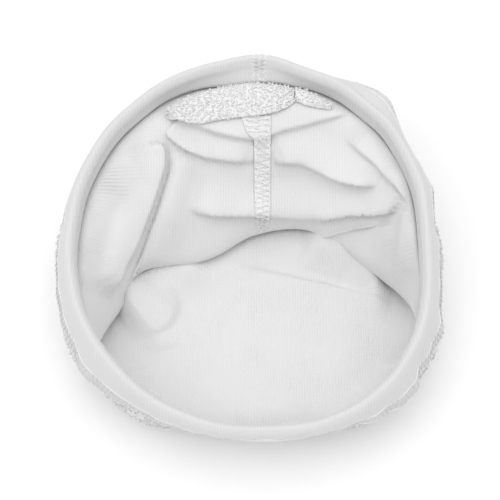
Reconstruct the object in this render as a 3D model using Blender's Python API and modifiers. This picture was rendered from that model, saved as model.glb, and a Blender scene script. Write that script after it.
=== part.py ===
"""A soft terry cloth turban lying crown down, its head opening up.

The front is +Y and the crown rests on the floor at z = 0. The cloth is one thin wall that runs
from inside the turned cuff, down the side and across the crown. Over the front half the wall
has sunk into the hollow as a broad shelf: it comes in from the cuff to the shelf's edge, turns
back under itself to the throat, and only then goes down the outside to the floor.
"""

from itertools import product

import bmesh
import bpy
import numpy as np
from mathutils import Matrix
from mathutils.bvhtree import BVHTree

# Driving sizes, in millimetres.
CLOTH = 2.0  # thickness of the terry knit
CUFF_CLOTH = 2.2  # thickness of the hemmed cuff, two layers of thin knit
TRIM_CLOTH = 1.4  # thickness of the seam's strip and of the hem facings
GAP = 0.7  # clearance below the strips that lie on the wall
PLEATS = 11  # soft pleats round the outside
PLEAT_DEPTH = 1.4
MM = 0.001

# Stations round the opening, in degrees: closer together over the folded front half.
STATIONS = np.concatenate([np.arange(-31.0, 220.0, 5.0), np.arange(226.0, 324.0, 7.6)])
ROUNDING = np.linspace(-8.0, 8.0, 7)  # a table's rows are averaged over these degrees

# One row for each section round the opening, in millimetres.
#   rim, high       radius and height of the cuff's top fold
#   lip             how far the cuff's inner leg comes in
#   trough          depth below that fold of the hollow just inside the cuff
#   edge_x, edge_y, edge_z   where the sunken wall's edge lies
#   bulge           how far the sunken wall stands above a straight slope
#   sunk            1 where the wall has sunk in, 0 where the shelf has closed up, and -1 where
#                   the wall stands and its rows are spread evenly down to the floor
#   belly, waist    how far the body stands out past the rim, and at what height
#   foot            radius of the patch of crown on the floor
SECTION_NAMES = (
    "angle", "rim", "high", "lip", "trough", "edge_x", "edge_y", "edge_z", "bulge", "sunk",
    "belly", "waist", "foot",
)
SECTIONS = (
    (5, 80.5, 63, 4, 22, 66, 4, 30, 5, 1, 12, 27, 66),
    (20, 84.5, 66, 4, 23, 56, 13, 28, 8, 1, 12, 28, 68),
    (35, 88.0, 69, 4, 23, 44, 22, 26, 11, 1, 12, 29, 70),
    (50, 89.8, 72, 4, 21, 32, 25, 25, 13, 1, 12, 30, 72),
    (63, 90.3, 73, 5, 19, 23, 26, 25, 14, 1, 12, 30, 74),
    (75, 92.0, 74, 12, 16, 14, 25, 25, 14, 1, 11, 31, 75),
    (87, 98.0, 75, 17, 15, 5, 23, 25, 14, 1, 9, 31, 76),
    (99, 92.0, 75, 11, 16, -3, 20, 25, 14, 1, 11, 31, 75),
    (112, 88.0, 74, 6, 19, -10, 16, 25, 14, 1, 13, 31, 74),
    (130, 84.4, 72, 4, 23, -23, 11, 25, 13, 1, 13, 30, 72),
    (150, 82.9, 68, 4, 24, -38, 7, 26, 10, 1, 12, 28, 68),
    (170, 82.6, 64, 4, 22, -52, 2, 28, 7, 1, 12, 26, 65),
    (190, 83.4, 60, 4, 20, -62, -14, 32, 4, 1, 11, 24, 63),
    (202, 84.5, 58, 4, 19, -69, -30, 30, 0, 1, 11, 23, 62),
    (214, 85.0, 55, 4, 18, -69, -49, 33, 0, 0, 11, 21, 60),
    (230, 85.5, 52, 4, 17, -60, -66, 33, 0, -1, 9, 19, 57),
    (245, 87.3, 50, 4, 17, -36, -78, 29, 0, -1, 3, 21, 54),
    (270, 88.0, 49, 4, 17, 0, -86, 29, 0, -1, 0, 23, 52),
    (292, 92.8, 50, 4, 17, 33, -83, 29, 0, -1, 1, 23, 54),
    (310, 93.6, 52, 4, 17, 58, -70, 29, 0, -1, 6, 21, 58),
    (320, 91.0, 54, 4, 17, 67, -57, 31, 0, -1, 8, 22, 60),
    (334, 86.5, 56, 4, 18, 76, -36, 33, 0, 0, 11, 24, 62),
    (345, 83.0, 58, 4, 19, 75, -20, 29, 0, 1, 12, 25, 63),
    (353, 81.0, 60, 4, 21, 71, -9, 30, 3, 1, 12, 26, 64),
)

# The cuff's free edge, seen from its top fold: how far out and how far down it hangs.
CUFF_NAMES = ("angle", "flare", "drop")
CUFF_SECTIONS = (
    (0, 12, 22), (14, 10, 23), (26, 13, 20), (40, 13, 12), (50, 15, 8), (60, 11, 11),
    (70, 5, 20), (90, 3, 25), (120, 4, 25), (150, 6, 25), (170, 9, 26), (190, 13, 26),
    (205, 11, 24), (218, 6, 21), (232, 5, 19), (255, 2, 17), (275, 1, 16), (290, 1, 16),
    (305, 3, 17), (318, 6, 19), (328, 8, 21), (336, 14, 24), (348, 13, 23),
)

# Folds, each a gentle arc across the plan from point 1 to point 2, in millimetres. The cloth on
# the left of the arc laps over the cloth on its right: it is raised by lift and drawn across by
# lap. sag bends the arc to its right. slow is the width of the rise, quick that of the drop.
FOLD_NAMES = ("name", "on_shelf", "x1", "y1", "x2", "y2", "sag", "slow", "quick", "lap", "lift")
FOLDS = (
    ("hem pleat", 1, -46, 71, 54, 70, 14, 13, 4, 2.0, 3.0),
    ("upper pleat, left", 1, -46, 55, 6, 45.5, 5, 11, 4, 4.0, 6.0),
    ("upper pleat, right", 1, 6, 45.5, 56, 37, -5, 11, 4, 4.0, 5.0),
    ("lower pleat, left", 1, -34, 28, 6, 26, 0, 9, 4, 2.0, 2.5),
    ("lower pleat, right", 1, 6, 26, 72, 28, 0, 10, 4, 4.0, 5.0),
    ("left wall fold", 1, -64, -14, -42, 60, 3, 15, 5, 5.0, 7.0),
    ("right wall fold", 1, 46, 56, 75, 26, 1, 10, 5, 3.0, 5.0),
    ("right hand roll", 1, 76, 26, 73, -16, 2, 8, 5, 3.0, 4.0),
    ("shelf roll, right", 1, 36, 20, 68, 22, 2, 6, 4, 3.0, 4.0),
    ("crown fold", 0, 78, -13, -12, 16, 0, 12, 6, 2.0, 4.0),
    ("left hand puff", 0, -66, -16, -42, -2, 4, 14, 8, 2.0, 9.0),
)

FADED = 0.05  # a fold's pull ends where it has faded to this, so that the floor stays flat
SOFTEN = 2.0  # this mesh is too coarse for the sharpest drops, so it widens them all

# The seam's strip, and the two strips of terry that face the hem in front. Each row is a station
# along the strip: where it is in the plan, and its two sides.
STRIP_NAMES = ("name", "across", "station", "side_a", "side_b")
STRIPS = (
    ("front_seam", "y", 65.5, 1.5, 10.0), ("front_seam", "y", 44.0, 1.8, 10.2),
    ("front_seam", "y", 22.0, 2.0, 10.4),
    ("hem_facing_left", "x", -39.0, 64.0, 66.5), ("hem_facing_left", "x", -35.0, 62.5, 69.0),
    ("hem_facing_left", "x", -25.0, 62.0, 73.5), ("hem_facing_left", "x", -12.0, 66.5, 77.5),
    ("hem_facing_left", "x", 6.0, 68.0, 79.0), ("hem_facing_left", "x", 17.0, 70.0, 78.5),
    ("hem_facing_left", "x", 21.0, 73.0, 77.0),
    ("hem_facing_right", "x", 24.5, 73.0, 76.0), ("hem_facing_right", "x", 28.0, 71.5, 76.5),
    ("hem_facing_right", "x", 36.0, 70.0, 73.0),
)
STRIP_STEP = 3.2  # mm between rows of a strip's mesh
LAYING_SHARES = (0.0, 0.25, 0.5, 0.75, 1.0)  # where each cell of a strip is held off the wall

# How many rows of mesh lie between one row of the wall's section and the next.
ROWS_BETWEEN = (1, 3, 4, 4, 3, 2, 2, 1, 2, 2, 2, 2, 3, 3)


def column(table, names, name, angles):
    """A table's column at some angles, averaged over a few degrees so no row leaves a corner."""
    at = [row[names.index("angle")] for row in table]
    value = [row[names.index(name)] for row in table]
    turned = np.add.outer(np.asarray(angles, float), ROUNDING)
    return np.interp(turned, at, value, period=360).mean(axis=-1)


def around(angles, radius, height):
    theta = np.radians(angles)
    return np.stack([radius * np.cos(theta), radius * np.sin(theta), height + 0.0 * theta], axis=-1)


def wall_sections(angles):
    """The middle of the wall as sections[row][angle]: its named points from cuff to crown."""
    s = {name: column(SECTIONS, SECTION_NAMES, name, angles) for name in SECTION_NAMES[1:]}
    rim, high, foot = s["rim"], s["high"], s["foot"]
    edge = np.stack([s["edge_x"], s["edge_y"], s["edge_z"]], axis=-1)
    pleat = PLEAT_DEPTH * np.sin(np.radians(angles) * PLEATS)
    top = around(angles, rim - 0.7, high - 4.2)
    tuck = 0.6 * (s["lip"] - 4.0)
    trough = around(angles, rim - 0.8 - tuck, high - s["trough"])
    crest = around(angles, rim + 0.4 * s["belly"] + 0.5 * pleat, s["waist"] + 8.0)
    belly = around(angles, rim + s["belly"] + pleat, s["waist"])
    down = around(angles, foot, CLOTH / 2)
    centre = down * [0.0, 0.0, 1.0]
    low = 0.45 * belly + 0.55 * down + around(angles, 6.0 + 0.5 * pleat, -6.0)
    throat = trough + 0.10 * (edge - trough)
    reach = np.hypot(*(trough - edge)[:, :2].T)
    throat[:, 2] = np.minimum(trough[:, 2] - 9.0, edge[:, 2] - 6.0 + 0.42 * reach)
    turned = np.clip(reach / 16.0, 0.0, 1.0)[:, None] * [0.0, 0.0, 1.0]

    def slope(share, humped):
        point = trough + share * (edge - trough)
        point[:, 2] += humped * s["bulge"]
        return point

    sunken = np.array([
        slope(0.34, 0.90), slope(0.60, 1.0), slope(0.82, 0.75), edge,
        edge + 0.06 * (throat - edge) - 7.0 * turned,
        edge + 0.50 * (throat - edge) + 6.0 * turned - [0.0, 0.0, 4.0],
        throat, crest, belly, low, down, 0.55 * down + 0.45 * centre,
    ])
    path, _ = drawn_through(np.array([trough, belly, low, down, centre]), (8, 8, 8, 8))
    standing = standing_rows(path, np.clip(-s["sunk"], 0.0, 1.0), len(sunken))
    sunk = np.clip(s["sunk"], 0.0, 1.0)[:, None]
    middle = (1.0 - sunk) * standing + sunk * sunken
    return np.concatenate([[top, trough], middle, [centre]])


def standing_rows(path, spread, count):
    """Rows along the standing wall: crowded above the belly where spread is 0, even where it is 1."""
    lengths = np.linalg.norm(np.diff(path, axis=0), axis=2)
    made = np.zeros((count, *path.shape[1:]))
    for i in range(path.shape[1]):
        walked = np.concatenate([[0.0], np.cumsum(lengths[:, i])])
        belly, low, down, centre = walked[8::8]
        crowded = [*np.linspace(0.1, 0.8, count - 4) * belly, belly, low, down]
        crowded.append(down + 0.45 * (centre - down))
        even = np.arange(1, count + 1) / (count + 1) * centre
        stops = (1.0 - spread[i]) * np.array(crowded) + spread[i] * even
        made[:, i] = np.stack([np.interp(stops, walked, path[:, i, k]) for k in range(3)], axis=-1)
    return made


def drawn_through(sections, rows_between):
    """Rows of points on a centripetal Catmull-Rom curve through the sections, with their depths."""
    ends = np.concatenate([
        2 * sections[:1] - sections[1:2], sections, 2 * sections[-1:] - sections[-2:-1]
    ])
    spans = np.sqrt(np.linalg.norm(np.diff(ends, axis=0), axis=-1, keepdims=True))
    rows, depths = [], []
    for i, count in enumerate(rows_between):
        a, b, c, d = ends[i : i + 4]
        before, span, after = spans[i : i + 3]
        leaving = span * ((b - a) / before - (c - a) / (before + span)) + c - b
        arriving = c - b + span * ((d - c) / after - (d - b) / (span + after))
        for t in np.arange(count) / count:
            rows.append(
                (1 + 2 * t) * (1 - t) ** 2 * b + t * (1 - t) ** 2 * leaving
                + t * t * (3 - 2 * t) * c - t * t * (1 - t) * arriving
            )
            depths.append(i + t)
    return np.array(rows + [sections[-1]]), np.array(depths + [len(rows_between)])


def smoothstep(value):
    value = np.clip(value, 0.0, 1.0)
    return value * value * (3.0 - 2.0 * value)


def folded(points, depths):
    """The same points with every fold drawn across and raised."""
    depth = depths[:, None] + 0.0 * points[..., 0]
    shelf = smoothstep((depth - 1.2) / 0.9) * (1.0 - smoothstep((depth - 4.8) / 1.2))
    crown = smoothstep((depth - 11.0) / 1.0)
    moved = points.copy()
    for row in FOLDS:
        f = dict(zip(FOLD_NAMES, row))
        start = np.array([f["x1"], f["y1"]])
        chord = np.array([f["x2"], f["y2"]]) - start
        length = np.hypot(*chord)
        along = chord / length
        to_right = np.array([along[1], -along[0]])
        away = points[..., :2] - start
        share = away @ along / length
        inside = np.clip(share, 0.0, 1.0)
        across = away @ to_right - f["sag"] * 4.0 * inside * (1.0 - inside)
        width = np.where(across < 0.0, f["slow"], f["quick"] + SOFTEN)
        past_end = (share - inside) * length
        weight = np.exp(-((across / width) ** 2) - (past_end / 7.0) ** 2)
        weight = np.maximum(weight - FADED, 0.0) / (1.0 - FADED)
        weight *= shelf if f["on_shelf"] else crown
        moved[..., :2] += weight[..., None] * f["lap"] * to_right
        moved[..., 2] += weight * f["lift"]
    return moved


def crown_rings():
    rows, depths = drawn_through(wall_sections(STATIONS), ROWS_BETWEEN)
    rows[..., 2] = np.maximum(rows[..., 2], CLOTH / 2)
    return folded(rows, depths)


def cuff_rings():
    """The cuff's middle surface: up inside the opening, over the fold, down to its free edge."""
    rim = column(SECTIONS, SECTION_NAMES, "rim", STATIONS)
    high = column(SECTIONS, SECTION_NAMES, "high", STATIONS)
    flare = column(CUFF_SECTIONS, CUFF_NAMES, "flare", STATIONS)
    drop = column(CUFF_SECTIONS, CUFF_NAMES, "drop", STATIONS)
    lip = column(SECTIONS, SECTION_NAMES, "lip", STATIONS)
    profile = [
        around(STATIONS, rim + out, high + up)
        for out, up in (
            (-lip, 0.2 * lip - 12.3), (-2.4 - 0.4 * lip, 0.2 * lip - 7.8), (-3.0, -2.8),
            (0.0, -1.1), (2.9, -3.0),
            (3.0 + 0.45 * flare, -0.55 * drop), (2.2 + flare, -drop),
        )
    ]
    return drawn_through(np.array(profile), (1, 2, 2, 2, 1, 1))[0]


def strip_plan(name):
    """Points of a flat strip, as rows along it, from its stations in the table."""
    rows = [dict(zip(STRIP_NAMES, row)) for row in STRIPS if row[0] == name]
    rows.sort(key=lambda row: row["station"])
    at, side_a, side_b = ([row[key] for row in rows] for key in ("station", "side_a", "side_b"))
    count = max(3, round((at[-1] - at[0]) / STRIP_STEP) + 1)
    stations = np.linspace(at[0], at[-1], count)
    a = np.interp(stations, at, side_a)
    b = np.interp(stations, at, side_b)
    between = [a + share * (b - a) for share in (0.0, 0.33, 0.67, 1.0)]
    if rows[0]["across"] == "x":
        return np.stack([np.stack([stations, y], axis=-1) for y in between], axis=1)
    return np.stack([np.stack([x, stations], axis=-1) for x in reversed(between)], axis=1)


def laid_on(surface, plan, clearance):
    """The plan's points dropped from above on to a surface, and raised until the strip clears it."""
    hull = BVHTree.FromObject(surface, bpy.context.evaluated_depsgraph_get())

    def resting_height(x, y):
        return hull.ray_cast((x * MM, y * MM, 0.3), (0.0, 0.0, -1.0))[0].z / MM + clearance

    height = np.array([[resting_height(*point) for point in row] for row in plan])
    for i, j in np.ndindex(len(plan) - 1, len(plan[0]) - 1):
        corners = slice(i, i + 2), slice(j, j + 2)
        for u, v in product(LAYING_SHARES, repeat=2):
            weights = np.outer((1.0 - u, u), (1.0 - v, v))
            x, y = np.tensordot(weights, plan[corners], 2)
            short = resting_height(x, y) - (weights * height[corners]).sum()
            height[corners] += max(short, 0.0)
    return np.concatenate([plan, height[..., None]], axis=-1)


def loft(name, rings, closed_round=True, pole=False):
    """A surface through rings of points, each joined to the next. pole closes the last ring."""
    shape = bmesh.new()
    last = len(rings) - 1 if pole else len(rings)
    made = [[shape.verts.new(point * MM) for point in ring] for ring in rings[:last]]
    count = len(rings[0])
    spans = range(count if closed_round else count - 1)
    for upper, lower in zip(made, made[1:]):
        for i in spans:
            j = (i + 1) % count
            shape.faces.new((upper[i], lower[i], lower[j], upper[j]))
    if pole:
        centre = shape.verts.new(rings[-1][0] * MM)
        for i in spans:
            shape.faces.new((made[-1][i], centre, made[-1][(i + 1) % count]))
    mesh = bpy.data.meshes.new(name)
    shape.to_mesh(mesh)
    shape.free()
    return bpy.data.objects.new(name, mesh)


def thicken(obj, thickness, offset):
    wall = obj.modifiers.new("cloth", "SOLIDIFY")
    wall.thickness = thickness * MM
    wall.offset = offset
    wall.use_rim = True


def cloth_material(name, colour, roughness):
    material = bpy.data.materials.new(name)
    material.use_nodes = True
    shader = material.node_tree.nodes["Principled BSDF"]
    shader.inputs["Base Color"].default_value = (*colour, 1.0)
    shader.inputs["Roughness"].default_value = roughness
    return material


def settle_over_origin(objects):
    """Moves every mesh so that the middle of the hat stands over the origin."""
    graph = bpy.context.evaluated_depsgraph_get()
    corners = np.array([
        vertex.co[:2] for obj in objects for vertex in obj.evaluated_get(graph).to_mesh().vertices
    ])
    middle = (corners.min(axis=0) + corners.max(axis=0)) / 2
    for obj in objects:
        obj.data.transform(Matrix.Translation((-middle[0], -middle[1], 0.0)))


def main():
    for obj in list(bpy.data.objects):
        bpy.data.objects.remove(obj)
    parts = bpy.data.collections.new("terry_turban")
    bpy.context.scene.collection.children.link(parts)

    crown = loft("crown", crown_rings(), pole=True)
    thicken(crown, CLOTH, 0.0)
    parts.objects.link(crown)
    cuff = loft("cuff", cuff_rings())
    thicken(cuff, CUFF_CLOTH, 0.0)
    parts.objects.link(cuff)
    pieces = [(crown, 0.80), (cuff, 0.82)]
    for name in ("front_seam", "hem_facing_left", "hem_facing_right"):
        strip = loft(name, laid_on(crown, strip_plan(name), GAP), closed_round=False)
        thicken(strip, TRIM_CLOTH, 1.0)
        parts.objects.link(strip)
        pieces.append((strip, 0.86))
    settle_over_origin([obj for obj, _ in pieces])
    for obj, whiteness in pieces:
        obj.data.materials.append(cloth_material(obj.name + "_cloth", [whiteness] * 3, 0.9))
        obj.data.shade_smooth()


main()
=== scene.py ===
# %% [markdown]
# A terry cloth turban lies crown down and looks up at us through its head opening. It is one soft
# knitted wall: smooth jersey inside, terry loops outside. The cuff round the opening is folded
# outwards, and the front half of the wall has sunk into the hollow as a shelf of loose folds.
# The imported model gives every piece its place. This script gives each piece the cloth's look.

import bmesh
import bpy
import numpy as np
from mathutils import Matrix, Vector, noise
from mathutils.bvhtree import BVHTree


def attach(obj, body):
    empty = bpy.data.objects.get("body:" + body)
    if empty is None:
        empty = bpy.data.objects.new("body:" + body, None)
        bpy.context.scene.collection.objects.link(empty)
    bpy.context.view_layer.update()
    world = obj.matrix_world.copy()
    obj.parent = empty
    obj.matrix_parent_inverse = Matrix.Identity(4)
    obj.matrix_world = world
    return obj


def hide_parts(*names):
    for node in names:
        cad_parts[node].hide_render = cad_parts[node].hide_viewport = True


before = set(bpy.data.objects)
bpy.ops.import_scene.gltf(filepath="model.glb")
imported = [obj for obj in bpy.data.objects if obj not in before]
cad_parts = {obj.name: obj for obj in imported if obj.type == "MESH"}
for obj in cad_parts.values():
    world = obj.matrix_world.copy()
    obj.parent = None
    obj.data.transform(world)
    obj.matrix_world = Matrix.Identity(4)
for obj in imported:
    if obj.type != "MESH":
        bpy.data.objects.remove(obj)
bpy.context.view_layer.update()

MM = 0.001  # the tables are in millimetres, and Blender works in metres

# %% [markdown]
# The hat is drawn in plan first, with its front at +Y. Each row of a table is one section round
# the opening, in millimetres: the cuff's top fold, the hollow just inside it, the edge of the
# sunken shelf, and the body outside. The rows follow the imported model, with small shifts that
# fit the cloth to the photograph. They are read off at many stations, so the folds are crisp.

# %% Sections round the opening
CLOTH = 2.0  # thickness of the terry knit
SIGHT = 0.466  # what is 1 mm lower looks the same 0.466 mm farther back, seen from 65 degrees
CUFF_CLOTH = 1.6  # thickness of the doubled cuff
CENTRING = np.array([0.6825, -5.8929, 0.0])  # from the drawing's origin to the frame's
PLEATS = 11
PLEAT_DEPTH = 1.4
ROUNDING = np.linspace(-8.0, 8.0, 7)  # a table's rows are averaged over these degrees
SECTION_NAMES = (
    "angle", "rim", "high", "lip", "trough", "edge_x", "edge_y", "edge_z", "bulge", "sunk",
    "belly", "waist", "foot",
)  # sunk is 1 on the shelf, 0 where it begins and -1 where the wall just stands
SECTIONS = (
    (5, 84.0, 63, 4, 14.5, 60, 2, 30, 5, 1, 9, 27, 66),
    (20, 87.0, 66, 4, 14.5, 50, 12, 28, 8, 1, 9, 28, 68),
    (35, 90.0, 69, 4, 14.5, 41, 21, 26, 11, 1, 11, 29, 70),
    (50, 91.5, 72, 4, 14.5, 32, 25, 25, 13, 1, 12, 30, 72),
    (63, 92.0, 73, 4, 15, 23, 26, 25, 14, 1, 11, 30, 74),
    (75, 92.6, 74, 4, 14, 14, 25, 25, 14, 1, 9, 31, 75),
    (87, 96.4, 75, 13, 12.2, 5, 23, 25, 14, 1, 7, 31, 76),
    (99, 92.3, 75, 8, 13, -3, 20, 25, 14, 1, 8, 31, 75),
    (112, 91.8, 74, 4, 15, -12, 13, 25, 14, 1, 10, 31, 74),
    (130, 90.0, 72, 4, 14.5, -24, 7, 25, 13, 1, 12, 30, 72),
    (150, 88.0, 68, 4, 14.5, -39, 5, 26, 10, 1, 12, 28, 68),
    (170, 86.5, 64, 4, 14.5, -56, 2, 28, 7, 1, 8.5, 26, 65),
    (190, 86.0, 60, 4, 14.5, -63, -14, 32, 4, 1, 7.5, 24, 63),
    (202, 86.5, 58, 4, 14.5, -69, -30, 30, 0, 1, 7.5, 23, 55),
    (214, 87.0, 55, 4, 18, -69, -49, 33, 0, 0, 7, 21, 51),
    (230, 87.0, 52, 4, 17, -60, -66, 33, 0, -1, 5, 19, 47),
    (245, 87.5, 50, 4, 17, -36, -78, 29, 0, -1, -3, 21, 45),
    (270, 88.0, 49, 4, 17, 0, -86, 29, 0, -1, -10, 23, 45),
    (292, 91.5, 50, 4, 17, 33, -83, 29, 0, -1, -7, 23, 47),
    (310, 93.6, 52, 4, 17, 58, -70, 29, 0, -1, 2.5, 21, 50),
    (320, 92.0, 54, 4, 17, 67, -57, 31, 0, -1, 6.5, 22, 53),
    (334, 89.5, 56, 4, 18, 80, -26, 33, 0, 0, 7, 24, 56),
    (345, 87.0, 58, 4, 19, 76, -12, 29, 0, 1, 9, 25, 63),
    (353, 85.0, 60, 4, 19, 70, -5, 30, 3, 1, 9.5, 26, 64),
)
CUFF_NAMES = ("angle", "flare", "drop")
CUFF_SECTIONS = (
    (0, 6.5, 22), (14, 5, 23), (26, 7, 20), (40, 4.5, 12), (50, 11.5, 8), (60, 7.5, 11),
    (70, 4.5, 20), (90, 1.5, 25), (120, 3, 25), (150, 5.5, 25), (170, 6.5, 26), (190, 6.5, 26),
    (205, 6.5, 24), (218, 8, 21), (232, 3, 17), (255, -0.5, 12), (275, -1, 11), (290, -1, 12),
    (305, 2, 17), (318, 8.5, 19), (328, 4.5, 21), (336, 8, 24), (348, 7, 23),
)
SAG_NAMES = ("angle", "sag")
SAGS = (
    (5, 12), (20, 11), (150, 11), (170, 12), (190, 18), (202, 20), (214, 4), (226, 0), (330, 0),
    (337, 5), (345, 15), (353, 14),
)  # how much lower the shelf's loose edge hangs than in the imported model
print(len(SECTIONS), "sections of the wall,", len(CUFF_SECTIONS), "of the cuff")

# %% [markdown]
# Cloth runs on smoothly from one section to the next. So a table's column is read as an average
# over a few degrees, and down the wall a centripetal Catmull-Rom curve goes through the section's
# places. A plain spline would overshoot wherever two places lie close together.

# %% Smooth curves through the tables
def column(table, names, name, angles, rounding=ROUNDING):
    """A table's column at some angles, averaged over a few degrees so no row leaves a corner."""
    at = [row[names.index("angle")] for row in table]
    value = [row[names.index(name)] for row in table]
    turned = np.add.outer(np.asarray(angles, float), rounding)
    return np.interp(turned, at, value, period=360).mean(axis=-1)


def around(angles, radius, height):
    """Points at some angles round the opening, from their radius and height."""
    theta = np.radians(angles)
    return np.stack([radius * np.cos(theta), radius * np.sin(theta), height + 0.0 * theta], axis=-1)


def drawn_through(sections, depths):
    """Points on centripetal Catmull-Rom curves through sections[row][column], at some depths."""
    ends = np.concatenate([
        2 * sections[:1] - sections[1:2], sections, 2 * sections[-1:] - sections[-2:-1]
    ])
    spans = np.sqrt(np.linalg.norm(np.diff(ends, axis=0), axis=-1, keepdims=True))
    row = np.minimum(np.asarray(depths).astype(int), len(sections) - 2)
    t = (depths - row)[:, None, None]
    a, b, c, d = (ends[row + i] for i in range(4))
    before, span, after = (spans[row + i] for i in range(3))
    leaving = span * ((b - a) / before - (c - a) / (before + span)) + c - b
    arriving = c - b + span * ((d - c) / after - (d - b) / (span + after))
    return (
        (1 + 2 * t) * (1 - t) ** 2 * b + t * (1 - t) ** 2 * leaving
        + t * t * (3 - 2 * t) * c - t * t * (1 - t) * arriving
    )


def smoothstep(value):
    """0 up to 0, 1 from 1 on, and a soft S between them."""
    value = np.clip(value, 0.0, 1.0)
    return value * value * (3.0 - 2.0 * value)


print("rim at the front:", column(SECTIONS, SECTION_NAMES, "rim", [90.0]).round(1), "mm")

# %% [markdown]
# Followed from the cuff to the middle of the crown, the wall has fifteen named places: under the
# cuff, the hollow inside it, three points of the shelf, the shelf's edge, its turned-back under
# side, the throat, then down the outside to the floor. At the back the wall just stands, and the
# same rows are spread along it.

# %% The wall's own section
STANDING_STEPS = 8  # points from one named place of the standing wall to the next


def standing_rows(path, spread, count):
    """Rows down the standing wall: crowded above the belly where spread is 0, even at 1."""
    lengths = np.linalg.norm(np.diff(path, axis=0), axis=2)
    made = np.zeros((count, *path.shape[1:]))
    for i in range(path.shape[1]):
        walked = np.concatenate([[0.0], np.cumsum(lengths[:, i])])
        belly, low, down, centre = walked[STANDING_STEPS::STANDING_STEPS]
        crowded = [*np.linspace(0.1, 0.8, count - 4) * belly, belly, low, down]
        crowded.append(down + 0.45 * (centre - down))
        even = np.arange(1, count + 1) / count * crowded[-1]
        stops = (1.0 - spread[i]) * np.array(crowded) + spread[i] * even
        made[:, i] = np.stack([np.interp(stops, walked, path[:, i, k]) for k in range(3)], axis=-1)
    return made


def wall_sections(angles):
    """The middle of the wall as sections[row][angle], from under the cuff to the crown's centre."""
    section = {n: column(SECTIONS, SECTION_NAMES, n, angles) for n in SECTION_NAMES[1:]}
    rim, high, waist = section["rim"], section["high"], section["waist"]
    edge = np.stack([section["edge_x"], section["edge_y"], section["edge_z"]], axis=-1)
    pleat = PLEAT_DEPTH * np.sin(np.radians(angles) * PLEATS)
    top = around(angles, rim - 0.1, high - 4.2)  # the wall's edge, held in the cuff's fold
    tuck = 0.9 * (section["lip"] - 4.0)  # a wide lip on the cuff pushes the wall inwards
    trough = around(angles, rim - 0.4 - tuck, high - section["trough"])
    crest = around(angles, rim + 0.4 * section["belly"] + 0.5 * pleat, waist + 8.0)
    belly = around(angles, rim + section["belly"] + pleat, waist)
    down = around(angles, section["foot"], CLOTH / 2)  # where the wall meets the floor
    centre = down * [0.0, 0.0, 1.0]
    low = 0.45 * belly + 0.55 * down + around(angles, 6.0 + 0.5 * pleat, -6.0)
    throat = trough + 0.10 * (edge - trough)
    reach = np.hypot(*(trough - edge)[:, :2].T)
    throat[:, 2] = np.minimum(trough[:, 2] - 9.0, edge[:, 2] - 6.0 + 0.42 * reach)
    turned = np.clip(reach / 16.0, 0.0, 1.0)[:, None] * [0.0, 0.0, 1.0]

    def slope(share, humped):
        point = trough + share * (edge - trough)
        point[:, 2] += humped * section["bulge"]
        return point

    sunken = np.array([
        slope(0.17, 0.80), slope(0.50, 1.0), slope(0.80, 0.75), edge,
        edge + 0.06 * (throat - edge) - 5.0 * turned,  # the edge hangs before it turns back
        edge + 0.50 * (throat - edge) + 6.0 * turned - [0.0, 0.0, 4.0],
        throat, crest, belly, low, down, 0.55 * down + 0.45 * centre,
    ])
    standing_path = np.array([trough, belly, low, down, centre])
    steps = np.arange(4 * STANDING_STEPS + 1) / STANDING_STEPS
    path = drawn_through(standing_path, steps)
    standing = standing_rows(path, np.clip(-section["sunk"], 0.0, 1.0), len(sunken))
    sunk = np.clip(section["sunk"], 0.0, 1.0)[:, None]
    middle = (1.0 - sunk) * standing + sunk * sunken
    return np.concatenate([[top, trough], middle, [centre]])


print(len(wall_sections(np.array([90.0]))), "named places down the wall")

# %% [markdown]
# A fold is a line on the plan, through a few points. The cloth on the line's left laps over the
# cloth on its right: it is drawn across by lap, so that its lip lies on the line, and raised by
# lift, over slow millimetres on its own side and quick ones on the other. That leaves a rounded
# lip with a thin dark line below it. A fold fades in and out over the lengths in its table. With
# no lap it is a plain wrinkle, and with a lift below zero a dent.

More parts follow.
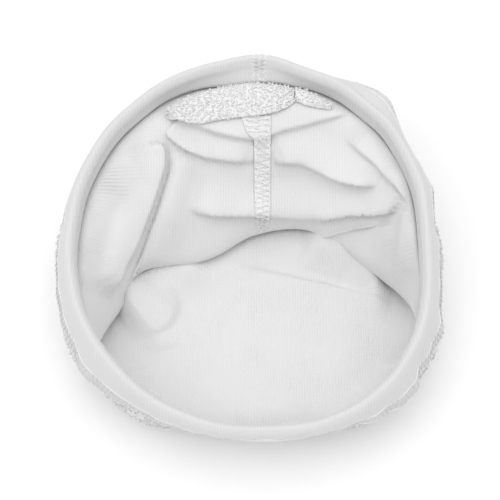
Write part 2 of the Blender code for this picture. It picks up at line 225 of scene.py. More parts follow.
# %% Folds and wrinkles
FOLD_NAMES = ("name", "depth", "slow", "quick", "lap", "lift", "fade_in", "fade_out", "line")
SHELF = (1.2, 5.4)
CROWN = (11.6, 16.0)
FOLDS = (
    ("hem pleat", SHELF, 9, 1.6, 3.0, 2.4, 10, 14,
     ((-43, 72), (-35, 67), (-25, 62.5), (-14, 59), (4, 57), (16, 61), (28, 63.5), (54, 70))),
    ("upper pleat, left", SHELF, 10, 1.5, 4.5, 3.6, 3, 16,
     ((-44, 59), (-37, 53.5), (-30, 49.5), (-12, 46), (8, 46))),
    ("upper pleat, right", SHELF, 9, 1.5, 5.0, 5.2, 8, 14,
     ((10, 46), (25, 46), (32, 43), (42, 39), (52, 36), (65, 31.5))),
    ("lower pleat", SHELF, 7, 1.3, 5.6, 5.0, 18, 6,
     ((-34, 21.5), (-20, 22), (-8, 23.5), (4, 25), (25, 25.5), (47, 24.5), (59, 22), (71, 17.5))),
    ("lower crease", SHELF, 1.2, 1.2, 0, -2.6, 14, 6,
     ((20, 21.6), (36, 21.2), (47, 20.6), (59, 18), (70, 14))),
    ("shelf roll", SHELF, 3.5, 1.2, 3.0, 2.2, 8, 8, ((30, 20), (42, 18.5), (54, 17), (66, 15.5))),
    ("shelf beside the left wall", (1.2, 5.6), 6, 8, 0, 5.0, 10, 10,
     ((-57, -14), (-53, -3), (-47, 9), (-41, 22), (-37, 33), (-34, 45), (-35, 54))),
    ("left wall fold", (1.0, 5.6), 15, 1.4, 5.6, 4.5, 12, 7,
     ((-65, -21), (-63, -12), (-60, -2), (-54, 10), (-48, 23), (-44, 34), (-41, 46), (-43, 59))),
    ("left wall hollow", (1.0, 4.4), 5, 5, 0, -2.4, 14, 14,
     ((-75, -24), (-73, -6), (-68, 12), (-60, 32))),
    ("left wall crease", (1.0, 5.6), 0.7, 0.7, 0, -3.0, 8, 8,
     ((-64.1, -24.5), (-62.1, -15.5), (-59.1, -5.5), (-53.1, 6.5), (-47.1, 19.5), (-43.1, 30.5),
      (-40.1, 42.5), (-42.1, 55.5))),
    ("right crease", SHELF, 9, 1.6, 3.2, 3.2, 14, 8,
     ((44, 58), (50, 53), (60, 44), (67, 36), (73, 29), (75.5, 22))),
    ("right hand roll", SHELF, 5, 3.0, 1.6, 2.6, 8, 8, ((76, 26), (74, 14), (72.5, 2), (73, -12))),
    ("roll beside it", SHELF, 3, 4.0, 0.5, 1.4, 8, 8, ((68, 20), (66.5, 10), (65, 2))),
    ("rise under the shelf", CROWN, 15, 12, 0, 6.0, 12, 12,
     ((-66, -44), (-62, -14), (-40, 6), (-18, 17), (4, 27), (28, 30), (52, 26), (70, 8))),
    ("rise at the left edge", CROWN, 8, 8, 0, 5.0, 8, 12,
     ((-70, -20), (-65, -6), (-57, 5), (-49, 11), (-36, 12), (-20, 14))),
    ("rise at the right edge", CROWN, 9, 9, 0, 8.0, 10, 10,
     ((26, 30), (44, 25), (54, 19), (64, 8), (72, -3), (80, -15))),
    ("rise at the left", CROWN, 20, 20, 0, 6.0, 12, 12, ((-74, -56), (-64, -30), (-54, -10), (-44, 4))),
    ("crown fold", CROWN, 12, 3.0, 1.8, 3.2, 6, 14,
     ((78, -12), (69, -7), (59, -3), (44, 2), (31, 5), (6, 11), (-12, 13.5))),
    ("crown wrinkle", CROWN, 5, 3.5, 1.2, 1.8, 8, 6, ((44, 4), (47, 17), (43, 32))),
    ("hollow wrinkle, left", CROWN, 9, 4, 0.8, 2.2, 10, 12,
     ((-54, -24), (-40, -37), (-20, -46), (5, -50))),
    ("hollow wrinkle, right", CROWN, 10, 4, 0.8, 2.4, 10, 12,
     ((72, -22), (52, -29), (28, -34), (6, -33))),
    ("hollow wrinkle, low", CROWN, 8, 5, 0.5, 2.0, 10, 12,
     ((60, -48), (38, -59), (12, -66), (-14, -66))),
    ("left hand puff", CROWN, 7, 2.6, 1.2, 2.0, 10, 10,
     ((-70, -30), (-54, -25), (-42, -19), (-38, -8), (-42, 2), (-50, 8))),
)
print(len(FOLDS), "folds, wrinkles and dents")

# %% [markdown]
# To draw the folds, each point of the wall is asked how far it lies beside each line. A bell
# curve over that distance says how much of the fold's lap and lift the point takes. Moving a
# grid's points this way keeps the cloth in one piece, where a simulation would have to be
# steered to make just these folds. Afterwards the shelf's loose edge is let down a little.

# %% Drawing the folds
FADED = 0.05  # a fold's pull ends where it has faded to this, so that the floor stays flat
END_ROUNDING = 3.0  # mm past its line's end over which a fold dies away
ROW_FADE = 0.5  # share of a named place's row over which a fold starts and stops


def line_through(points, count=60):
    """The points of a fold's line, evenly along a smooth curve through its own points."""
    knots = np.array(points, float)[:, None, :]
    knots = np.concatenate([knots, 0.0 * knots[..., :1]], axis=-1)
    curve = drawn_through(knots, np.linspace(0.0, len(points) - 1.0, 8 * count))[:, 0, :2]
    walked = np.concatenate([[0.0], np.cumsum(np.hypot(*np.diff(curve, axis=0).T))])
    even = np.linspace(0.0, walked[-1], count)
    return np.stack([np.interp(even, walked, curve[:, k]) for k in (0, 1)], axis=-1), even


def beside(line, places):
    """How far each place lies to the right of a line, and how far past its ends."""
    tangent = np.gradient(line, axis=0)
    tangent /= np.linalg.norm(tangent, axis=-1, keepdims=True)
    away = places[:, None, :] - line[None, :, :]
    nearest = np.argmin((away ** 2).sum(axis=-1), axis=1)
    each = np.arange(len(places))
    gap, way = away[each, nearest], tangent[nearest]
    across = gap[:, 0] * way[:, 1] - gap[:, 1] * way[:, 0]
    past = (gap * way).sum(axis=-1)
    past = np.where((nearest == 0) | (nearest == len(line) - 1), np.abs(past), 0.0)
    to_right = np.stack([way[:, 1], -way[:, 0]], axis=-1)
    return across, past, nearest, to_right


def folded(points, depths):
    """The same points with every fold drawn across and raised."""
    moved = points.reshape(-1, 3).copy()
    depth = np.repeat(depths, points.shape[1])
    for row in FOLDS:
        fold = dict(zip(FOLD_NAMES, row))
        line, walked = line_through(fold["line"])
        line = line - [0.0, SIGHT * fold["lift"]]
        start, end = fold["depth"]
        reach = 3.0 * max(fold["slow"], fold["quick"]) + 2.0 * fold["lap"]
        near = (depth > start) & (depth < end)
        for k in (0, 1):
            near &= (moved[:, k] > line[:, k].min() - reach) & (moved[:, k] < line[:, k].max() + reach)
        across, past, nearest, to_right = beside(line, moved[near, :2])
        across = across + fold["lap"]
        width = np.where(across < 0.0, fold["slow"], fold["quick"])
        weight = np.exp(-((across / width) ** 2) - (past / END_ROUNDING) ** 2)
        weight = np.maximum(weight - FADED, 0.0) / (1.0 - FADED)
        weight *= smoothstep(walked[nearest] / fold["fade_in"])
        weight *= smoothstep((walked[-1] - walked[nearest]) / fold["fade_out"])
        weight *= smoothstep((depth[near] - start) / ROW_FADE)
        weight *= smoothstep((end - depth[near]) / ROW_FADE)
        moved[near, :2] += weight[:, None] * fold["lap"] * to_right
        moved[near, 2] += weight * fold["lift"]
    return moved.reshape(points.shape)


SAG_ROWS = (1, 2, 3, 4, 5, 6, 7, 8)  # from the trough over the shelf and its edge to the throat
SAG_SHARES = (0.0, 0.17, 0.5, 0.8, 1.0, 1.0, 0.6, 0.0)


def sagged(points, angles, depths):
    """The shelf's loose edge let down along the line of sight, most at the edge itself."""
    by_row = np.interp(depths, SAG_ROWS, SAG_SHARES)
    down = by_row[:, None] * column(SAGS, SAG_NAMES, "sag", angles)
    return points + np.stack([0.0 * down, SIGHT * down, -down], axis=-1)


def facing_in(points):
    """Unit normals, on the jersey's side, of a grid whose columns run round the opening."""
    down = np.gradient(points, axis=0)
    side = np.roll(points, -1, axis=1) - np.roll(points, 1, axis=1)
    normal = np.cross(side, down)
    length = np.linalg.norm(normal, axis=-1, keepdims=True)
    return np.where(length > 1e-6, normal / np.maximum(length, 1e-6), [0.0, 0.0, 1.0])


def uneven(points, wave, height, seed):
    """Smooth random heights for a grid of points, with bumps about wave millimetres across."""
    flat = points.reshape(-1, 3) / wave + seed
    return height * np.array([noise.noise(p) for p in flat]).reshape(points.shape[:-1])


print("the shelf's edge sags by", [sag for angle, sag in SAGS if angle in (5, 202)], "mm at its ends")

# %% [markdown]
# A cloth wall starts as a flat grid from bmesh. One way along the grid is round the opening, the
# other is down the wall, and each vertex is then moved to its place. Merging doubles closes the
# joint where the grid meets itself, and the point at the crown's middle.

# %% From a grid to cloth
def cloth_grid(name, places, weave):
    """A mesh from places[row][column] in mm. weave gives each vertex its place on flat cloth."""
    rows, columns = places.shape[:2]
    shape = bmesh.new()
    bmesh.ops.create_grid(shape, x_segments=columns - 1, y_segments=rows - 1, size=1.0)
    shape.verts.ensure_lookup_table()
    uv = shape.loops.layers.uv.new("cloth")
    cell = {}
    for vert in shape.verts:
        i = round((vert.co.y + 1.0) / 2.0 * (rows - 1))
        j = round((vert.co.x + 1.0) / 2.0 * (columns - 1))
        cell[vert] = i, j
    for vert, (i, j) in cell.items():
        vert.co = places[i, j] * MM
        for loop in vert.link_loops:
            loop[uv].uv = weave[i, j] * MM
    bmesh.ops.remove_doubles(shape, verts=shape.verts, dist=1e-6)
    mesh = bpy.data.meshes.new(name)
    shape.to_mesh(mesh)
    shape.free()
    mesh.shade_smooth()
    piece = bpy.data.objects.new(name, mesh)
    bpy.context.scene.collection.objects.link(piece)
    print(name, len(mesh.vertices), "vertices")
    return piece


def thicken(piece, thickness, offset, back_slot=0):
    """Gives a sheet its thickness in mm: behind its faces at offset -1, half each way at 0."""
    wall = piece.modifiers.new("cloth", "SOLIDIFY")
    wall.thickness = thickness * MM
    wall.offset = offset
    wall.use_rim = True
    wall.material_offset = back_slot
    wall.material_offset_rim = back_slot


def closed_round(points):
    """The grid of points with its first column repeated as its last."""
    return np.concatenate([points, points[:, :1]], axis=1)


def row_depths(rows_between):
    """The depth of each row of a grid: a whole number at each of the named places."""
    parts = [i + np.arange(n) / n for i, n in enumerate(rows_between)]
    return np.concatenate(parts + [[len(rows_between)]])


# %% [markdown]
# Everything is white, so each colour is a grey a little below white, written as a hex code. A
# Principled shader reads it as a linear value. A little sheen stands for the fine fuzz of cotton.

# %% Colours and nodes
def linear(code):
    """A hex sRGB colour as Blender's linear values."""
    parts = [int(code[i:i + 2], 16) / 255 for i in (1, 3, 5)]
    return (*[c / 12.92 if c <= 0.04045 else ((c + 0.055) / 1.055) ** 2.4 for c in parts], 1.0)


def add_node(owner, kind, settings=None, links=None):
    """Adds a node to a material or world. links maps its inputs to a value or (node, output)."""
    tree = owner.node_tree
    node = tree.nodes.new(kind)
    for key, value in (settings or {}).items():
        setattr(node, key, value)
    for key, value in (links or {}).items():
        if isinstance(value, tuple) and isinstance(value[0], bpy.types.Node):
            tree.links.new(value[0].outputs[value[1]], node.inputs[key])
        else:
            node.inputs[key].default_value = value
    return node


def shader_of(material):
    return material.node_tree.nodes["Principled BSDF"]


def cotton(name, code, roughness=0.95, fuzz=0.25):
    """A cotton finish: matt, with hardly a highlight, and pale where fuzz catches the light."""
    material = bpy.data.materials.new(name)
    material.use_nodes = True
    for socket, value in (
        ("Base Color", linear(code)), ("Roughness", roughness), ("Specular IOR Level", 0.2),
        ("Sheen Weight", fuzz), ("Sheen Roughness", 0.6),
    ):
        shader_of(material).inputs[socket].default_value = value
    return material


print("#E7E7E7 reads as", round(linear("#E7E7E7")[0], 3))

# %% [markdown]
# Jersey is cotton knitted on one set of needles. Its face shows upright ribs, called wales, and
# each wale is a column of small V shapes. Real wales are about a millimetre apart; here they are
# 1.4 mm, as fine as the picture can show. The ribs are a bump on the cloth's own UV map, which
# is in metres, so that they follow the cloth from front to back. A slow noise lets them come and
# go, as they do where the cloth is stretched or slack.

# %% Jersey
WALE = 1.4  # mm from rib to rib
COURSE = 1.7  # mm from V to V along a rib
SLACK = 200 / 9  # mm across a patch that is slack or stretched
LINT = 2 / 3  # mm across a speck of lint


def knit_jersey(name, code, depth):
    """Jersey as a bump of ribs, of V stitches across them and of lint, depth mm high in all."""
    material = cotton(name, code)
    cloth = add_node(material, "ShaderNodeUVMap", {"uv_map": "cloth"})
    parts = add_node(material, "ShaderNodeSeparateXYZ", None, {0: (cloth, "UV")})
    place = add_node(material, "ShaderNodeTexCoord")
    slack, lint = (
        add_node(
            material, "ShaderNodeTexNoise", None,
            {"Vector": (place, "Object"), "Scale": 1.0 / (size * MM), "Detail": 2.0},
        )
        for size in (SLACK, LINT)
    )
    pull = add_node(
        material, "ShaderNodeMapRange", None,
        {"Value": (slack, "Fac"), "From Min": 0.38, "From Max": 0.66, "To Min": 0.25, "To Max": 1.0},
    )
    made = {"x": (parts, "X"), "y": (parts, "Y"), "pull": (pull, "Result"), "lint": (lint, "Fac")}
    for result, operation, first, second in (
        ("across", "MULTIPLY", "x", 1.0 / (WALE * MM)),
        ("share", "FRACT", "across", 0.0),
        ("half turn", "MULTIPLY", "share", np.pi),
        ("rib", "SINE", "half turn", 0.0),
        ("off middle", "SUBTRACT", "share", 0.5),
        ("aside", "ABSOLUTE", "off middle", 0.0),
        ("slant", "MULTIPLY", "aside", 1.4),
        ("along", "MULTIPLY", "y", 1.0 / (COURSE * MM)),
        ("slanted", "ADD", "along", "slant"),
        ("turn", "MULTIPLY", "slanted", 2.0 * np.pi),
        ("stitch", "SINE", "turn", 0.0),
        ("low stitch", "MULTIPLY", "stitch", 0.22),
        ("knit", "ADD", "rib", "low stitch"),
        ("pulled knit", "MULTIPLY", "knit", "pull"),
        ("low lint", "MULTIPLY", "lint", 0.35),
        ("height", "ADD", "pulled knit", "low lint"),
    ):
        inputs = {0: made.get(first, first), 1: made.get(second, second)}
        node = add_node(material, "ShaderNodeMath", {"operation": operation}, inputs)
        made[result] = node, "Value"
    bump = add_node(
        material, "ShaderNodeBump", None,
        {"Strength": 1.0, "Distance": depth * MM, "Height": made["height"]},
    )
    # Painted shade: the knit's colour is darkened to 0.955 of its grey where the ribs and stitches lie
    # low, in their grooves.
    groove_shade = add_node(
        material, "ShaderNodeMapRange", None,
        {"Value": made["knit"], "From Min": 0.0, "From Max": 1.0, "To Min": 0.955, "To Max": 1.0},
    )
    colour = add_node(
        material, "ShaderNodeMix", {"data_type": "RGBA", "blend_type": "MULTIPLY"},
        {"Factor": 1.0, "A": linear(code)},
    )
    links = material.node_tree.links
    links.new(groove_shade.outputs["Result"], colour.inputs["B"])
    links.new(colour.outputs["Result"], shader_of(material).inputs["Base Color"])
    links.new(bump.outputs["Normal"], shader_of(material).inputs["Normal"])
    return material


jersey = knit_jersey("cotton_jersey_inside", "#E7E7E7", 0.14)
# Painted shade: the cuff is the same jersey as the inside, but a darker grey, for the flap outside that
# hangs in shade.
band = knit_jersey("cotton_jersey_cuff_painted_shade", "#E0E0E0", 0.10)
print("materials:", jersey.name, band.name)

# %% [markdown]
# Terry is knitted with extra yarn that stands up in loops. From a hand's distance it looks like
# fine crumbs. The ground between the loops is a rough bump in two sizes, and the loops
# themselves are modelled further down, one by one.

# %% Terry and thread
LOOP = 1.5  # mm between terry loops
CRUMB = 5 / 7  # mm across a crumb of the ground between them


def terry_ground(name, code):
    """The cloth that the loops stand in: small mounds, one to a loop, with crumbs over them."""
    material = cotton(name, code, fuzz=0.4)
    place = add_node(material, "ShaderNodeTexCoord")
    loops = add_node(
        material, "ShaderNodeTexVoronoi", {"feature": "SMOOTH_F1"},
        {"Vector": (place, "Object"), "Scale": 1.0 / (LOOP * MM), "Smoothness": 0.4},
    )
    crumbs = add_node(
        material, "ShaderNodeTexNoise", None,
        {"Vector": (place, "Object"), "Scale": 1.0 / (CRUMB * MM), "Detail": 3.0},
    )
    low = add_node(material, "ShaderNodeMath", {"operation": "MULTIPLY"}, {0: (crumbs, "Fac"), 1: 0.6})
    height = add_node(
        material, "ShaderNodeMath", {"operation": "SUBTRACT"},
        {0: (low, "Value"), 1: (loops, "Distance")},
    )
    bump = add_node(
        material, "ShaderNodeBump", None,
        {"Strength": 1.0, "Distance": 0.35 * MM, "Height": (height, "Value")},
    )
    material.node_tree.links.new(bump.outputs["Normal"], shader_of(material).inputs["Normal"])
    return material


terry = terry_ground("cotton_terry_ground", "#EFEFEF")
yarn = cotton("cotton_terry_loops", "#F3F3F3", fuzz=0.5)
# Spun polyester thread is smoother than cotton, so that each stitch has a faint gloss.
thread = cotton("polyester_overlock_thread", "#FAFAFA", roughness=0.6, fuzz=0.1)
print("materials:", terry.name, yarn.name, thread.name)

# %% [markdown]
# The crown is the whole wall. The front has more columns than the back, because the folds are
# there. The jersey side is shaped first and folded, and a Solidify modifier then gives the cloth
# its two millimetres on the terry side. Its UV map is the plan in metres; the standing sides
# would be squeezed in a plan, so there the height is added.

# %% The crown
FRONT_FROM, FRONT_TO, BACK_TO = -31.0, 220.0, 329.0  # degrees round the opening
COLUMNS_FRONT, COLUMNS_BACK = 230, 70
ROWS_BETWEEN = (6, 26, 20, 17, 14, 6, 8, 8, 6, 4, 5, 6, 15, 14)  # from each place to the next


def tree_of(piece):
    """The finished surface of a piece, for rays to meet."""
    bpy.context.view_layer.update()
    return BVHTree.FromObject(piece, bpy.context.evaluated_depsgraph_get())


front = np.linspace(FRONT_FROM, FRONT_TO, COLUMNS_FRONT, endpoint=False)
back = np.linspace(FRONT_TO, BACK_TO, COLUMNS_BACK, endpoint=False)
wall_angles = np.concatenate([front, back])
wall_depths = row_depths(ROWS_BETWEEN)
middle = drawn_through(wall_sections(wall_angles), wall_depths)
middle[..., 2] = np.maximum(middle[..., 2], CLOTH / 2)
inside = middle + CLOTH / 2 * facing_in(middle)
inside = folded(inside, wall_depths)
inside = sagged(inside, wall_angles, wall_depths)
# Soft swells only raise the cloth, and fade out under the cuff.
swells = uneven(inside, wave=34.0, height=2.6, seed=4.0)
swells = swells + uneven(inside, wave=13.0, height=0.6, seed=9.0)
inside[..., 2] += np.maximum(swells + 0.8, 0.0) * smoothstep((wall_depths - 1.2) / 0.8)[:, None]
inside += CENTRING
# On the sides that stand, the height is added to the plan, outwards to the left and the right.
spread = np.sign(inside[..., 0]) * smoothstep((np.abs(inside[..., 0]) - 48.0) / 42.0)
weave = np.stack([inside[..., 0] + spread * inside[..., 2], inside[..., 1]], axis=-1)
crown = cloth_grid("turban_crown", closed_round(inside), closed_round(weave))
thicken(crown, CLOTH, -1.0, back_slot=1)
crown.data.materials.append(jersey)
crown.data.materials.append(terry)
crown_tree = tree_of(crown)

# %% [markdown]
# The cuff is a band of jersey folded double. It comes up inside the opening, turns over a narrow
# ridge and hangs outside as a loose flap, whose free edge is serged and waves a little. One
# function says where the band lies, because its stitches need the same places later.

# %% The cuff
CUFF_COLUMNS = 540
CUFF_ROWS = (4, 5, 6, 7, 9, 9)  # rows of its grid from each of its seven places to the next
CUFF_ROUNDING = np.linspace(-3.5, 3.5, 5)
WAVE_NAMES = ("angle", "height", "length")
WAVES = (
    (0, 1.2, 9), (35, 0.8, 12), (100, 0.4, 14), (190, 0.8, 12), (235, 1.0, 10), (300, 0.7, 12),
    (330, 1.3, 9),
)  # how high and how long the waves of the free edge are


def cuff_places(angles, depths):
    """Where the middle of the cuff lies: depth 0 is its edge inside, 3 its ridge, 6 its free edge."""
    rim, high, lip = (column(SECTIONS, SECTION_NAMES, n, angles) for n in ("rim", "high", "lip"))
    flare, drop = (
        column(CUFF_SECTIONS, CUFF_NAMES, n, angles, CUFF_ROUNDING) for n in ("flare", "drop")
    )
    profile = [
        around(angles, rim + out, high + up)
        for out, up in (
            (1.4 - lip, 0.2 * lip - 12.3), (-0.9 - 0.3 * lip, 0.2 * lip - 7.8), (-2.1, -3.0),
            (0.0, -0.8), (2.0, -2.8), (2.4 + 0.45 * flare, -0.55 * drop), (1.8 + flare, -drop),
        )
    ]
    places = drawn_through(np.array(profile), depths)
    theta = np.radians(angles)
    outwards = np.stack([np.cos(theta), np.sin(theta), 0.0 * theta], axis=-1)
    wave, length = (column(WAVES, WAVE_NAMES, n, angles, np.zeros(1)) for n in ("height", "length"))
    free = smoothstep((np.asarray(depths) - 3.6) / 2.4)[:, None]  # 0 at the ridge, 1 at the edge
    along = np.stack([rim * np.cos(theta), rim * np.sin(theta)], axis=-1)
    ripple = np.array([noise.noise((x / n, y / n, 3.0)) for (x, y), n in zip(along, length)])
    sway = np.array([noise.noise((x / 22.0, y / 22.0, 8.0)) for x, y in along])
    places += (2.2 * free * wave * ripple + 0.9 * sway)[..., None] * outwards
    places[..., 2] += 0.9 * sway + 1.4 * free * wave * np.roll(ripple, 7)
    return places + CENTRING


cuff_angles = np.arange(CUFF_COLUMNS) * 360.0 / CUFF_COLUMNS
rings = cuff_places(cuff_angles, row_depths(CUFF_ROWS))
cuff = cloth_grid("turban_cuff", closed_round(rings), closed_round(rings[..., :2]))
thicken(cuff, CUFF_CLOTH, 0.0)
cuff.data.materials.append(band)

# %% [markdown]
# The seam and the two terry facings are flat strips that lie on the wall. Each is drawn in the
# plan first, as a few stations along it and the strip's two sides at each station. Its sides run
# straight from one station to the next, as a cut strip's do.

# %% Strips in the plan
STRIP_NAMES = ("name", "across", "station", "side_a", "side_b")
STRIPS = (
    ("front_seam", "y", 68.0, -4.8, 10.4), ("front_seam", "y", 58.6, -1.4, 10.2),
    ("front_seam", "y", 57.0, 2.0, 10.2), ("front_seam", "y", 44.0, 2.2, 10.0),
    ("front_seam", "y", 32.5, 2.4, 10.2), ("front_seam", "y", 28.0, 2.8, 9.8),
    ("hem_facing_left", "x", -41.0, 68.0, 70.0), ("hem_facing_left", "x", -37.0, 64.5, 73.5),
    ("hem_facing_left", "x", -31.0, 62.0, 77.0), ("hem_facing_left", "x", -24.0, 62.0, 79.0),
    ("hem_facing_left", "x", -15.0, 64.5, 81.0), ("hem_facing_left", "x", 0.0, 67.0, 84.0),
    ("hem_facing_left", "x", 12.0, 69.0, 84.0), ("hem_facing_left", "x", 18.0, 71.5, 83.0),
    ("hem_facing_left", "x", 21.5, 75.0, 80.0),
    ("hem_facing_right", "x", 22.5, 76.0, 82.0), ("hem_facing_right", "x", 27.0, 73.0, 81.0),
    ("hem_facing_right", "x", 34.0, 71.5, 77.0), ("hem_facing_right", "x", 40.0, 71.0, 73.0),
)
STRIP_STEP = 0.8  # mm between a strip's points


def strip_plan(name, step=STRIP_STEP):
    """Points of a flat strip as rows along it, from its stations in the table."""
    rows = [dict(zip(STRIP_NAMES, row)) for row in STRIPS if row[0] == name]
    rows.sort(key=lambda row: row["station"])
    at, side_a, side_b = ([row[key] for row in rows] for key in ("station", "side_a", "side_b"))
    stations = np.linspace(at[0], at[-1], int((at[-1] - at[0]) / step) + 2)
    a, b = np.interp(stations, at, side_a), np.interp(stations, at, side_b)
    shares = np.linspace(0.0, 1.0, int(max(b - a) / step) + 2)
    width = a[:, None] + shares * (b - a)[:, None]
    run = stations[:, None] + 0.0 * width
    pair = (run, width) if rows[0]["across"] == "x" else (width, run)
    return np.stack(pair, axis=-1) + CENTRING[:2]


print("the seam's plan has", len(strip_plan("front_seam")), "rows")

# %% [markdown]
# Each strip is dropped on to the wall with rays from above. It is stiffer than the wall, so it
# bridges the narrow cracks under the folds: its heights are the highest nearby, then smoothed.
# The front seam also hangs over the shelf's steep edge, where level rays find the cloth.

# %% Strips laid on the wall
ABOVE_ALL = 300.0  # mm up, from where a ray looks down on the turban


def spread_over(heights, pick, window):
    """Each height replaced by pick (the highest, or the mean) of its neighbours in a window."""
    padded = np.pad(heights, window, mode="edge")
    rows, columns = heights.shape
    near = [
        padded[i:i + rows, j:j + columns]
        for i in range(2 * window + 1) for j in range(2 * window + 1)
    ]
    return pick(np.array(near), axis=0)


def top_of(tree, x, y):
    """Where a ray from above meets a piece, and the piece's normal there."""
    return tree.ray_cast((x * MM, y * MM, ABOVE_ALL * MM), (0.0, 0.0, -1.0))


def hung_over(row, hang):
    """More rows of a strip, hang mm down the steep front of the shelf's edge, to a round end."""
    middle = row[:, 0].mean()
    more = []
    for down in np.arange(STRIP_STEP, hang, STRIP_STEP):
        narrow = 1.0 - 0.6 * smoothstep((down / hang - 0.65) / 0.35)
        for x, y, z in row:
            x = middle + narrow * (x - middle)
            start = np.array([x, y - 8.0, z - down]) * MM  # in the hollow, 8 mm before the edge
            hit = crown_tree.ray_cast(start, (0.0, 1.0, 0.0), 20.0 * MM)[0]
            more.append((x, hit.y / MM - 0.3 if hit else y, z - down))
    return np.array(more).reshape(-1, *row.shape)[::-1]


def laid_strip(name, material, thickness, clearance, puff, window=2, hang=0.0):
    """A strip on the wall, puff mm higher in its middle, and the places of its points."""
    plan = strip_plan(name)
    heights = np.array([[top_of(crown_tree, x, y)[0].z / MM for x, y in row] for row in plan])
    heights = spread_over(spread_over(heights, np.max, window), np.mean, window) + clearance
    across = np.linspace(-1.0, 1.0, plan.shape[1])
    heights += puff * (1.0 - across ** 4)
    places = np.concatenate([plan, heights[..., None]], axis=-1)
    if hang:
        places = np.concatenate([hung_over(places[0], hang), places])
    strip = cloth_grid(name + "_cloth", places, places[..., :2])
    thicken(strip, thickness, 1.0 if strip.data.polygons[-1].normal.z > 0 else -1.0)
    strip.data.materials.append(material)
    return strip, places


seam, seam_places = laid_strip(
    "front_seam", terry, thickness=0.4, clearance=0.05, puff=0.2, window=1, hang=17.0,
)
facing_left, facing_right = (
    laid_strip(name, terry, thickness=1.2, clearance=0.2, puff=0.8)[0]
    for name in ("hem_facing_left", "hem_facing_right")
)

# %% [markdown]
# Overlock stitches are threads that cross the edge of the cloth and lock there. A thread is a
# curve with a round bevel, made a mesh when its path is done.

# %% Threads
THREAD = 0.2  # radius of a thread, in mm
rng = np.random.default_rng(11)  # one stream for every stitch and loop that lies unevenly


def thread_along(name, paths, radius=THREAD):
    """A mesh of threads, one along each path of points in mm."""
    curve = bpy.data.curves.new(name, "CURVE")
    curve.dimensions = "3D"
    curve.bevel_depth = radius * MM
    curve.bevel_resolution = 1
    curve.use_fill_caps = True
    for path in paths:
        spline = curve.splines.new("POLY")
        spline.points.add(len(path) - 1)
        for point, place in zip(spline.points, path):
            point.co = (*(np.asarray(place) * MM), 1.0)
    draft = bpy.data.objects.new(name, curve)
    bpy.context.scene.collection.objects.link(draft)
    made = draft.evaluated_get(bpy.context.evaluated_depsgraph_get())
    mesh = bpy.data.meshes.new_from_object(made)
    bpy.data.objects.remove(draft)
    mesh.shade_smooth()
    piece = bpy.data.objects.new(name, mesh)
    bpy.context.scene.collection.objects.link(piece)
    piece.data.materials.append(thread)
    print(name, len(mesh.polygons), "faces")
    return piece


print("a thread is", 2 * THREAD, "mm thick")

# %% [markdown]
# Down the seam the threads are laid over the strip's own grid of points, a zigzag across it and
# three wavy chains along it. So they follow the strip wherever it goes, over the shelf's edge too.

# %% Stitches down the seam
def over_grid(places, along, across, clearance):
    """Places above a grid, at some rows along it and some shares (0 to 1) across it."""
    normal = np.cross(np.gradient(places, axis=0), np.gradient(places, axis=1))
    normal /= np.linalg.norm(normal, axis=-1, keepdims=True)
    raised = places + clearance * np.sign(normal[-1, :, 2].mean()) * normal
    row = np.clip(along, 0.0, len(places) - 1.001)
    share = np.clip(across, 0.0, 0.999) * (places.shape[1] - 1)
    i, j = row.astype(int), share.astype(int)
    t, u = (row - i)[:, None], (share - j)[:, None]
    left = (1.0 - t) * raised[i, j] + t * raised[i + 1, j]
    right = (1.0 - t) * raised[i, j + 1] + t * raised[i + 1, j + 1]
    return (1.0 - u) * left + u * right


def seam_paths(places, pitch, clearance):
    """Overlock threads along a grid: a zigzag across it and three wavy chains. pitch is in rows."""
    last = len(places) - 1.0
    count = int(2 * last / pitch)
    zigzag = np.linspace(0.0, last, count) + rng.uniform(-0.5, 0.5, count)
    sides = np.where(np.arange(count) % 2 == 0, 0.06, 0.94) + rng.uniform(-0.06, 0.06, count)
    fine = np.linspace(0.0, last, 4 * count)
    wave = 2 * np.pi * fine / pitch
    paths = [(zigzag, sides)]
    for middle, turn in ((0.12, 0.0), (0.5, 2.0), (0.88, 4.0)):
        paths.append((fine, middle + 0.10 * np.sin(wave + turn)))
    return [over_grid(places, along, across, clearance) for along, across in paths]


seam_stitches = thread_along("front_seam_stitches", seam_paths(seam_places, pitch=3.0, clearance=0.65))

# %% [markdown]
# The cuff's free edge is overlocked all round: a zigzag of thread reaches four millimetres into
# the cloth, and a rolled cord closes the edge. The cuff's own seam crosses its ridge at the
# front.

# %% Stitches on the cuff
EDGE_PITCH = 2.3  # mm between overlock stitches along the free edge
EDGE_DEPTHS = np.array([5.25, 5.6, 6.0])  # the needle line, the middle and the free edge
EDGE_RADIUS = 92.0  # mm, about, to count the stitches by
ALL_ROUND = np.arange(0.0, 360.0, 0.4)
RIDGE_SEAM = 87.2 + np.linspace(-2.4, 2.4, 5)  # degrees, across the cuff's own seam


def outside_of_cuff(angles, depths, clearance):
    """Places on the outer face of the cuff."""
    places = cuff_places(angles, depths)
    fine = cuff_places(angles, np.asarray(depths) - 0.05) - places
    side = np.roll(places, -1, axis=1) - np.roll(places, 1, axis=1)
    normal = np.cross(fine, side)
    normal /= np.linalg.norm(normal, axis=-1, keepdims=True)
    outward = np.sum(normal[-1] * (places[-1] - CENTRING), axis=-1).mean()
    return places + np.sign(outward) * (CUFF_CLOTH / 2 + clearance) * normal


def closed_path(points):
    """The path with its first point repeated as its last."""
    return np.concatenate([points, points[:1]])


